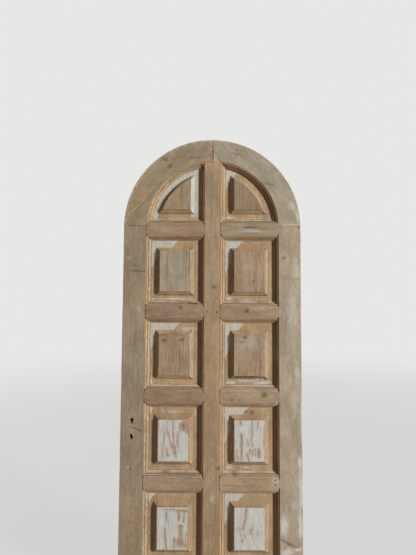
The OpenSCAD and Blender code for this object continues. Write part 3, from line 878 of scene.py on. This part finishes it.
def arch_paint(g, piece, shown):
    """Paint along the arc of the left quarter-round panel, or in the corner of the right one."""
    rough = (g.noise(g.place, 60.0, 4.0, 0.65) - 0.5) * (8 * MM)
    if piece == "right_arch_panel":
        corner = (g.x - MULLION_SIGHT) + (shown.top - g.z) * 0.65 + rough
        return g.ramp(corner, ARCH_CORNER, ARCH_CORNER - 3 * MM)
    field_arc = SIGHT_X - MARGIN_ARCH
    reach = g.length(g.x, g.z - SPRING_Z)
    arc = g.ramp(reach + rough, field_arc - 2 * MM, field_arc + 1 * MM)
    field_side = -(MULLION_SIGHT + MARGIN_SIDE + BEVEL_W)
    slope = g.ramp(g.x + rough * 0.4, field_side, field_side + 1 * MM)
    above = g.ramp(g.z + rough * 2.0, shown.top - 262 * MM, shown.top - 250 * MM)
    return arc | (slope * above * 0.8)


def margin_paint(g, piece, shown, grime):
    """Mask of the paint left on a panel's margins."""
    foot = g.ramp(g.z - shown.bottom, 7 * MM, 2 * MM) * g.ramp(grime, 0.45, 0.62) * 0.5
    masks = [foot]
    masks += [blotch(g, mark, ragged=0.9, soft=0.7, fine=70.0) for mark in MARGIN_PAINT.get(piece, ())]
    if piece in CORNER_PAINT:
        masks.append(corner_paint(g, piece, shown))
    if piece in ARCH_PANELS:
        masks.append(arch_paint(g, piece, shown))
    return union(masks) * g.front


def field_paint(g, piece, shown):
    """Mask of the paint on a white field, ragged at its rim and worn through in streaks."""
    ragged = (g.noise(g.place, 110.0, 4.0, 0.7) - 0.5) * (16 * MM)
    rim = g.ramp(field_inset(g, shown) + ragged, 2.0 * MM, 5.0 * MM)
    return rim * (1.0 - bare_mask(g, piece) * 0.9)


def chalky(g, finish, field):
    """Colour of the paint, brighter on the field and clouded along the grain."""
    paint = g.mix(field, scaled(finish.paint, *MARGIN_PAINT_TINT), scaled(finish.paint, *FIELD_PAINT_TINT))
    cloud = g.noise(g.vector(g.x * 130.0, g.y * 30.0, g.z * 16.0), 1.0, 5.0, 0.7)
    return g.tint(g.ramp(cloud, 0.36, 0.66), paint, CHALK_TINT)


def edge_marks(g, piece, finish, colour, shown, grime, chalk):
    """Add the limed line along a panel's edges, and the dark seam at the frame: partly grime, partly
    painted shade in the corner.
    """
    edge = edge_distance(g, piece, shown)
    limed = g.ramp(abs(edge - 8 * MM), 6 * MM, 2 * MM) * g.front * g.ramp(grime, 0.40, 0.62)
    colour = g.mix(limed * 0.35, colour, chalk)
    # Painted shade in the corner beside the frame, mixed with grime
    seam = g.ramp(edge, 5.0 * MM, 0.5 * MM) * g.front
    return g.mix(seam * (g.ramp(grime, 0.40, 0.66) * 0.4 + 0.25), colour, finish.dirt_and_shade)


def bevel_light_and_shade(g, piece, finish, colour, shown):
    """Paint shade at the field's step and at the lower bevel's foot, dim the lit bevel with painted shade
    and lighten the lower bevel with painted light.
    """
    # Painted shade along the field's step
    step = g.ramp(abs(g.y - (FIELD_PLANE + 0.3 * MM)), 1.2 * MM, 0.5 * MM)
    colour = g.mix(step * 0.5, colour, finish.dirt_and_shade)
    slope = g.ramp(g.y, FIELD_PLANE + 1 * MM, FIELD_PLANE + 2 * MM)
    slope = slope * g.ramp(g.y, MARGIN_PLANE - 0.3 * MM, MARGIN_PLANE - 0.6 * MM)
    colour = g.tint(slope * lit_bevel(g, piece, shown), colour, LIT_BEVEL_PAINTED_SHADE)
    lower_edge = shown.bottom + MARGIN_BOTTOM + BEVEL_W
    lower = slope * g.ramp(g.z, lower_edge + 0.5 * MM, lower_edge - 0.5 * MM)
    # Painted light on the lower bevel, and painted shade along its foot
    foot = g.ramp(g.y, MARGIN_PLANE - 5 * MM, MARGIN_PLANE - 3 * MM)
    colour = g.tint(lower * (1.0 - foot), colour, LOWER_BEVEL_PAINTED_LIGHT)
    return g.mix(lower * foot * 0.4, colour, finish.dirt_and_shade)


def panel_finish(piece, finish, seed):
    """Golden margins and bevels, a weathered or white field, remnants of paint."""
    g = Surface(f"{piece}_wood")
    shown = sight(piece)
    grime = g.noise(g.place, 40.0, 3.0)
    field = g.ramp(g.y, FIELD_PLANE, FIELD_PLANE - 0.8 * MM)
    golden, height = wood(g, piece, finish.margin, seed)
    white = margin_paint(g, piece, shown, grime) * (1.0 - field)
    if piece in FIELD_TONES:
        bare, _ = wood(g, piece, linear(*FIELD_TONES[piece]), seed + 0.3, FIELD_FIGURE)
    else:
        bare, _ = wood(g, piece, finish.streak, seed + 0.3)
        white = white | (field * field_paint(g, piece, shown))
    chalk = chalky(g, finish, field)
    colour = g.mix(white * 0.93, g.mix(field, golden, bare), chalk)
    colour = edge_marks(g, piece, finish, colour, shown, grime, chalk)
    colour = bevel_light_and_shade(g, piece, finish, colour, shown)
    colour = marked(g, piece, finish, colour)
    rough = 0.72 + height * 0.12 - white * 0.12
    return g.complete(colour, rough, height * (1.0 - white) + white * 0.9, GRAIN_DEPTH)


# Worn meshes

def merged_copy(node):
    """The mesh of a CAD node with its facets joined."""
    bm = bmesh.new()
    bm.from_mesh(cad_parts[node].data)
    bmesh.ops.remove_doubles(bm, verts=bm.verts, dist=FINE_SNAP)
    bmesh.ops.dissolve_limit(bm, angle_limit=FLAT_ANGLE, verts=bm.verts, edges=bm.edges)
    return bm


def shown_arris(edge):
    """True for a sharp outward edge on the front or the back."""
    if not edge.is_manifold or not edge.is_convex:
        return False
    if edge.calc_face_angle() < ARRIS_ANGLE:
        return False
    depths = [vert.co.y for vert in edge.verts]
    return max(depths) < FRONT + 20.5 * MM or min(depths) > BACK - 0.5 * MM


def handled(edge, node):
    """True for an edge that is worn rounder: the outline of the leaf and the rails' faces."""
    if node in RAILS:
        return all(vert.co.y < FRONT + 0.1 * MM for vert in edge.verts)
    for vert in edge.verts:
        reach = math.hypot(vert.co.x, max(vert.co.z - SPRING_Z, 0.0))
        if reach < HALF_W - 0.6 * MM:
            return False
    return True


def bevel_arrises(bm, node, wear):
    """Round the shown edges and note the new faces in the layer of worn edges."""
    arris = bm.loops.layers.float.new(ARRIS)
    for rounder, offset, segments in ((True, wear.outline, 3), (False, wear.arris, 2)):
        edges = [edge for edge in bm.edges if shown_arris(edge) and handled(edge, node) == rounder]
        made = bmesh.ops.bevel(bm, geom=edges, offset=offset, offset_type="OFFSET", segments=segments,
                               profile=0.5, affect="EDGES", clamp_overlap=True, material=-1)
        for face in made["faces"]:
            for loop in face.loops:
                loop[arris] = 1.0
    return arris


def cut(bm, geom, place, direction, snap=FINE_SNAP):
    """Cut geometry at a place across a direction and give it all back."""
    return bmesh.ops.bisect_plane(bm, geom=geom, dist=snap, plane_co=place, plane_no=direction)["geom"]


def with_corners(faces):
    """Faces with their edges and corners."""
    return list({part for face in faces for part in (*face.verts, *face.edges)}) + faces


def cut_grid(bm, direction, step):
    """Cut the mesh across a direction at every step."""
    places = [vert.co.dot(direction) for vert in bm.verts]
    first, run = min(places), max(places) - min(places)
    count = max(1, round(run / step))
    for index in range(1, count):
        geom = list(bm.verts) + list(bm.edges) + list(bm.faces)
        cut(bm, geom, direction * (first + run * index / count), direction, GRID_SNAP)


def press_groove(bm, mark):
    """Press a ragged groove into the front of a mesh."""
    x0, z0, x1, z1, half, depth = (value * MM for value in mark)
    start = Vector((x0, 0.0, z0))
    run = Vector((x1, 0.0, z1)) - start
    along = run.normalized()
    aside = Vector((along.z, 0.0, -along.x))
    reach = 1.4 * half

    def gap(co):
        flat = Vector((co.x, 0.0, co.z)) - start
        nearest = min(max(flat.dot(along), 0.0), run.length)
        return (flat - along * nearest).length

    def touched(face):
        centre = face.calc_center_median()
        size = max((vert.co - centre).length for vert in face.verts)
        return face.normal.y < FRONT_FACING and centre.y < 0.0 and gap(centre) < 1.5 * half + size

    geom = with_corners([face for face in bm.faces if touched(face)])
    for offset in (-reach, -reach / 2, 0.0, reach / 2, reach):
        geom = cut(bm, geom, start + aside * offset, aside)
    count = max(2, round(run.length / (2.5 * half)))
    places = [start + run * (index / count) for index in range(count + 1)]
    for place in (start - along * reach, *places, start + run + along * reach):
        geom = cut(bm, geom, place, along)
    verts = {vert for part in geom if isinstance(part, bmesh.types.BMFace) for vert in part.verts}
    for vert in verts:
        share = gap(vert.co) / reach
        if share < 1.0:
            ragged = 0.75 + 0.5 * noise.noise(vert.co * 160.0)
            vert.co.y += depth * (1.0 - share * share) * max(ragged, 0.1)


def press_corner(bm, corner, inward, radius, depth):
    """Round a corner of a rail's face by pressing what lies outside the arc."""
    centre = corner + inward * radius
    reach = radius + 25 * MM

    def touched(face):
        offset = face.calc_center_median() - corner
        return face.normal.y < FRONT_FACING and abs(offset.x) < reach and abs(offset.z) < reach

    for direction in (AXIS_X, AXIS_Z):
        for index in range(CORNER_CUTS + 1):
            geom = with_corners([face for face in bm.faces if touched(face)])
            cut(bm, geom, corner + inward * (radius / CORNER_CUTS * index), direction)
    for vert in bm.verts:
        offset = Vector((vert.co.x, 0.0, vert.co.z)) - centre
        outside = offset.x * inward.x < 0.0 and offset.z * inward.z < 0.0
        in_square = max(abs(offset.x), abs(offset.z)) < radius + 0.1 * MM
        if outside and in_square and vert.co.y < FRONT + QUIRK:
            past = (offset.length - 0.9 * radius) / (0.25 * radius)
            vert.co.y += depth * min(max(past, 0.0), 1.0)


def round_rail(bm, node, wear):
    """Round the corners of a rail's face, more so on its right, but not those under the arch."""
    low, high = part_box(node)
    ends = (-FACE_X, -MULLION_FACE) if node.startswith("left") else (MULLION_FACE, FACE_X)
    for x, radius, right in ((ends[0], wear.corner * 0.6, 1.0), (ends[1], wear.corner, -1.0)):
        for z, up in ((low.z + LEVEL_W, 1.0), (high.z - LEVEL_W, -1.0)):
            under_arch = node.endswith("rail_1") and up < 0.0 and abs(x) > MULLION_FACE
            if not under_arch:
                corner, inward = Vector((x, 0.0, z)), Vector((right, 0.0, up))
                press_corner(bm, corner, inward, radius, wear.corner_depth)


def rub(bm, wear, arris, seed):
    """Waver the flat faces and wear the arrises, inwards only."""
    bm.normal_update()
    rubbed = {loop.vert for face in bm.faces for loop in face.loops if loop[arris] > 0.9}
    shift = Vector((seed * 7.1, seed * 3.3, seed * 5.7))
    moves = {}
    for vert in bm.verts:
        if FRONT + 19 * MM < vert.co.y < BACK - 0.5 * MM:
            continue
        slow = 0.5 + 0.5 * noise.noise(vert.co * 11.0 + shift)
        move = Vector((0.0, wear.wave * slow * (1.0 if vert.co.y < 0.0 else -1.0), 0.0))
        if vert in rubbed:
            nick = max(0.0, noise.noise(vert.co * 26.0 + shift)) ** 1.5
            move -= vert.normal * (wear.nick * nick)
        moves[vert] = move
    for vert, move in moves.items():
        vert.co += move


def shaded_object(bm, name, material):
    """An object with a finished mesh, smooth but for its sharp edges."""
    for face in bm.faces:
        face.smooth = True
    for edge in bm.edges:
        edge.smooth = not edge.is_manifold or edge.calc_face_angle() < SMOOTH_ANGLE
    mesh = bpy.data.meshes.new(name)
    bm.to_mesh(mesh)
    bm.free()
    mesh.materials.append(material)
    piece = bpy.data.objects.new(name, mesh)
    bpy.context.collection.objects.link(piece)
    weighted = piece.modifiers.new("Even shading", "WEIGHTED_NORMAL")
    weighted.keep_sharp = True
    return piece


def worn_piece(node, wear, material, grid, seed):
    """A worn copy of a CAD node that stands for it."""
    bm = merged_copy(node)
    arris = bevel_arrises(bm, node, wear)
    for direction, step in grid:
        cut_grid(bm, direction, step)
    if node in RAILS:
        round_rail(bm, node, wear)
    for mark in GROOVES.get(node, ()):
        press_groove(bm, mark)
    rub(bm, wear, arris, seed)
    piece = shaded_object(bm, f"worn_{node}", material)
    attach(piece, BODY)
    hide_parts(node)


def worn_pieces(context, nodes, make_finish, grid, first_seed, seed_step=1.0):
    """Build worn pieces of one kind, each with a seed of its own."""
    finish = palette(context.scene.door_finish)
    for index, node in enumerate(nodes):
        seed = first_seed + index * seed_step
        material = make_finish(node, finish, seed)
        worn_piece(node, context.scene.door_wear, material, grid, seed)


# Stage

def place_camera(context):
    """Camera at the viewing angle of the picture."""
    data = bpy.data.cameras.new("Camera")
    data.sensor_fit = "VERTICAL"
    data.sensor_height = SENSOR
    data.lens = SENSOR * FOCAL_PX / PHOTO_H_PX
    data.clip_start = 0.05
    camera = bpy.data.objects.new("Camera", data)
    tilt = Matrix.Rotation(math.radians(90) + CAMERA_PITCH, 4, "X")
    turn = tilt @ Matrix.Rotation(CAMERA_ROLL, 4, "Z")
    camera.matrix_world = Matrix.Translation(CAMERA_PLACE) @ turn
    context.collection.objects.link(camera)
    context.scene.camera = camera


def place_light(name, place, power, size):
    """Square area light that faces the leaf."""
    data = bpy.data.lights.new(name, "AREA")
    data.energy = power
    data.size = size
    light = bpy.data.objects.new(name, data)
    light.location = place
    light.rotation_euler = (LIGHT_TARGET - place).to_track_quat("-Z", "Y").to_euler()
    bpy.context.collection.objects.link(light)


def surround(context, settings):
    """Even surrounding light with a pale background."""
    world = bpy.data.worlds.new("Surround")
    world.use_nodes = True
    g = Graph(world.node_tree)
    ambient = g.tree.nodes["Background"]
    g.feed(ambient.inputs["Color"], AMBIENT_TINT)
    ambient.inputs["Strength"].default_value = settings.ambient
    pale = g.node("ShaderNodeBackground", {}, {"Color": tuple(settings.pale)})
    g.blend(g.seen(), Value(g, ambient.outputs[0]), pale, "World Output")
    context.scene.world = world


def lay_floor(settings):
    """Large pale floor that fades into the background."""
    bm = bmesh.new()
    bmesh.ops.create_circle(bm, cap_ends=True, segments=96, radius=FLOOR_R)
    mesh = bpy.data.meshes.new("Floor")
    bm.to_mesh(mesh)
    bm.free()
    floor = bpy.data.objects.new("Floor", mesh)
    bpy.context.collection.objects.link(floor)
    g = Surface("floor_pale")
    tone = tuple(settings.pale)
    cloud = g.noise(g.place, 3.0, 4.0)
    light, dark = scaled(tone, FLOOR_SHARE), scaled(tone, 0.97 * FLOOR_SHARE)
    g.feed(g.shader.inputs["Base Color"], g.mix(g.ramp(cloud, 0.3, 0.7), light, dark))
    g.shader.inputs["Roughness"].default_value = 0.9
    glow = g.node("ShaderNodeEmission", {}, {"Color": tone})
    far = g.ramp(g.length(g.x, g.y), 3.0, 0.8 * FLOOR_R)
    g.blend(g.seen() * (far * 0.25 + 0.75), Value(g, g.shader.outputs[0]), glow, "Material Output")
    mesh.materials.append(g.material)


# Settings

def length_setting(name, description, default):
    return FloatProperty(name=name, description=description, default=default, min=0.0, unit="LENGTH")


def colour_setting(name, description, default):
    return FloatVectorProperty(name=name, description=description, default=default, size=3, min=0.0,
                               max=1.0, subtype="COLOR")


class DoorWear(bpy.types.PropertyGroup):
    """How far the leaf is worn."""
    arris: length_setting("Arris", "Rounding of the worn edges", 1.3 * MM)
    outline: length_setting("Outline", "Rounding of the leaf's outline and of the rails' faces", 3.0 * MM)
    wave: length_setting("Waver", "Unevenness of the planed faces", 0.5 * MM)
    nick: length_setting("Nicks", "Depth of the nicks in the edges", 2.0 * MM)
    corner: length_setting("Rail corner", "Radius of the worn rail corners", 17 * MM)
    corner_depth: length_setting("Corner depth", "Depth of the worn rail corners", 7 * MM)


class DoorFinish(bpy.types.PropertyGroup):
    """Colours of the stripped wood and of what is left on it."""
    moulding: colour_setting("Mouldings", "Wood of the mouldings", linear(156, 132, 104))
    margin: colour_setting("Margins", "Wood of the panel margins and bevels", linear(157, 131, 101))
    streak: colour_setting("Streaks", "Stained wood where a white field is bare", linear(152, 116, 90))
    paint: colour_setting("Paint", "Remnants of white paint", linear(189, 186, 177))
    # This colour also paints the soft shadow along the right stile's crack
    smudge_and_shadow: colour_setting("Smudges", "Grey weathering", linear(92, 82, 72))
    # This colour is real dirt in joints and cracks, and painted shade in the quirks, seams, field step,
    # lower bevel foot, grooves and lock holes
    dirt_and_shade: colour_setting("Dirt", "Dirt in joints, cracks and quirks", linear(62, 46, 33))
    peg: colour_setting("Pegs", "End grain of pegs and wedges", linear(120, 88, 60))


class DoorStage(bpy.types.PropertyGroup):
    """Plain studio light and floor."""
    key: FloatProperty(
        name="Key light", description="Power of the key light", default=3900.0, min=0.0, unit="POWER")
    ambient: FloatProperty(
        name="Ambient", description="Level of the surrounding light", default=0.085, min=0.0, max=1.0,
        subtype="FACTOR")
    pale: colour_setting("Backdrop", "Colour of the floor and the background", (0.80, 0.80, 0.79))


def palette(settings):
    """The colours of the finish as plain tuples."""
    names = DoorFinish.__annotations__
    return SimpleNamespace(**{name: tuple(getattr(settings, name)) for name in names})


# Operators

class DOOR_OT_stiles(bpy.types.Operator):
    """Build both worn stiles"""
    bl_idname = "door.stiles"
    bl_label = "Stiles"

    def execute(self, context):
        grid = ((AXIS_Z, 45 * MM), (AXIS_X, 22 * MM))
        worn_pieces(context, STILES, frame_finish, grid, 1.0)
        return {"FINISHED"}


class DOOR_OT_arches(bpy.types.Operator):
    """Build both worn segments of the arched head"""
    bl_idname = "door.arches"
    bl_label = "Arch segments"

    def execute(self, context):
        grid = ((AXIS_Z, 28 * MM), (AXIS_X, 28 * MM))
        worn_pieces(context, ARCHES, frame_finish, grid, 3.0)
        return {"FINISHED"}


class DOOR_OT_mullion(bpy.types.Operator):
    """Build the worn mullion"""
    bl_idname = "door.mullion"
    bl_label = "Mullion"

    def execute(self, context):
        grid = ((AXIS_Z, 45 * MM), (AXIS_X, 20 * MM))
        worn_pieces(context, ("mullion",), frame_finish, grid, 5.0)
        return {"FINISHED"}


class DOOR_OT_rails(bpy.types.Operator):
    """Build the worn rails"""
    bl_idname = "door.rails"
    bl_label = "Rails"

    def execute(self, context):
        grid = ((AXIS_X, 40 * MM), (AXIS_Z, 20 * MM))
        worn_pieces(context, (*RAILS, "bottom_rail"), frame_finish, grid, 6.0, 0.7)
        return {"FINISHED"}


class DOOR_OT_panels(bpy.types.Operator):
    """Build the worn rectangular and quarter-round panels"""
    bl_idname = "door.panels"
    bl_label = "Panels"

    def execute(self, context):
        grid = ((AXIS_Z, 30 * MM), (AXIS_X, 25 * MM))
        worn_pieces(context, (*PANELS, *ARCH_PANELS), panel_finish, grid, 13.0, 0.9)
        return {"FINISHED"}


class DOOR_OT_small_pieces(bpy.types.Operator):
    """Finish the pegs, the wedges and the crown tongue"""
    bl_idname = "door.small_pieces"
    bl_label = "Pegs, wedges and tongue"

    def execute(self, context):
        material = end_grain_finish(palette(context.scene.door_finish))
        for node in SMALL_PIECES:
            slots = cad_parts[node].data.materials
            slots.clear()
            slots.append(material)
        return {"FINISHED"}


class DOOR_OT_stage(bpy.types.Operator):
    """Set up the camera, the lights and the floor"""
    bl_idname = "door.stage"
    bl_label = "Stage"

    def execute(self, context):
        settings = context.scene.door_stage
        place_camera(context)
        place_light("Key", KEY_PLACE, settings.key, KEY_SIZE)
        place_light("Back", BACK_PLACE, settings.key * BACK_SHARE, BACK_SIZE)
        surround(context, settings)
        lay_floor(settings)
        context.scene.view_settings.view_transform = "Standard"
        return {"FINISHED"}


# Panel and registration

OPERATORS = (DOOR_OT_stiles, DOOR_OT_arches, DOOR_OT_mullion, DOOR_OT_rails, DOOR_OT_panels,
             DOOR_OT_small_pieces, DOOR_OT_stage)
SETTINGS = {"door_wear": DoorWear, "door_finish": DoorFinish, "door_stage": DoorStage}


class DOOR_PT_leaf(bpy.types.Panel):
    """Sidebar list of the pieces"""
    bl_idname = "DOOR_PT_leaf"
    bl_label = "Arched door leaf"
    bl_space_type = "VIEW_3D"
    bl_region_type = "UI"
    bl_category = "Door"

    def draw(self, context):
        for group_name, group in SETTINGS.items():
            for setting in group.__annotations__:
                self.layout.prop(getattr(context.scene, group_name), setting)
        for operator in OPERATORS:
            self.layout.operator(operator.bl_idname)


def register():
    for cls in (*SETTINGS.values(), *OPERATORS, DOOR_PT_leaf):
        bpy.utils.register_class(cls)
    for name, group in SETTINGS.items():
        setattr(bpy.types.Scene, name, PointerProperty(type=group))


def unregister():
    for name in SETTINGS:
        delattr(bpy.types.Scene, name)
    for cls in reversed((*SETTINGS.values(), *OPERATORS, DOOR_PT_leaf)):
        bpy.utils.unregister_class(cls)


def main():
    register()
    bpy.ops.door.stiles()
    bpy.ops.door.arches()
    bpy.ops.door.mullion()
    bpy.ops.door.rails()
    bpy.ops.door.panels()
    bpy.ops.door.small_pieces()
    bpy.ops.door.stage()
    bpy.context.view_layer.update()


if __name__ == "__main__":
    main()
